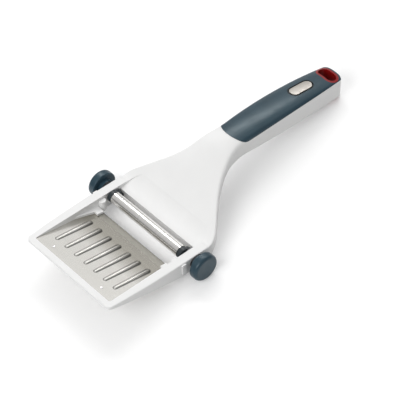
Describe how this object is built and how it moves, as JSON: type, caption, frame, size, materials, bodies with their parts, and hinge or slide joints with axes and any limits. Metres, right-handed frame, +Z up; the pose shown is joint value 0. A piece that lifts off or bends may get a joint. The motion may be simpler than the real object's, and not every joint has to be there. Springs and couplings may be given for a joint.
{
  "type": "adjustable hand slicer",
  "caption": "Hand-held adjustable plane slicer: white head with a ribbed steel blade plate, an eccentric steel roller set by side knobs, and a raised handle with a soft grip and a hang hole.",
  "frame": {"origin": "on the table, midway across and along the slicer, which rests on its knobs and the tail of its handle", "axes": "+X to the right knob, +Y from the front lip to the tail of the handle, +Z up"},
  "size_m": [0.111, 0.2458, 0.0378],
  "materials": {
    "white_plastic": "satin moulded",
    "blade_steel": "satin brushed",
    "pin_steel": "satin",
    "carrier_plastic": "matte",
    "slate_grip": "satin soft touch",
    "badge_metal": "satin, blank",
    "red_plastic": "gloss",
    "roller_steel": "polished",
    "bearing_plastic": "matte",
    "axle_steel": "turned",
    "dark_plastic": "satin",
    "ring_rubber": "matte",
    "slate_knob": "satin",
    "screw_steel": "plated"
  },
  "bodies": {
    "frame": {"frame_body": "white_plastic", "blade_plate": "blade_steel", "plate_pins": "pin_steel", "grip_carrier": "carrier_plastic", "grip_skin": "slate_grip", "badge_plate": "badge_metal", "hang_liner": "red_plastic", "wall_bush_left": "bearing_plastic", "wall_bush_right": "bearing_plastic"},
    "dial": {"crank_left": "dark_plastic", "crank_right": "dark_plastic", "roller_axle": "axle_steel", "knob_hub_left": "dark_plastic", "knob_hub_right": "dark_plastic", "knob_cover_left": "slate_knob", "knob_cover_right": "slate_knob", "knob_screw_left": "screw_steel", "knob_screw_right": "screw_steel", "friction_ring_left": "ring_rubber", "friction_ring_right": "ring_rubber"},
    "roller": {"roller_tube": "roller_steel", "roller_bush_left": "bearing_plastic", "roller_bush_right": "bearing_plastic"}
  },
  "joints": [
    {"name": "thickness_dial", "type": "hinge", "parent": "frame", "child": "dial", "pos_m": [0, -0.05094, 0.01], "axis": [1, 0, 0], "range_deg": [-20, 34]},
    {"name": "roller_spin", "type": "hinge", "parent": "dial", "child": "roller", "pos_m": [0, -0.0539, 0.01289], "axis": [1, 0, 0], "continuous": true}
  ]
}
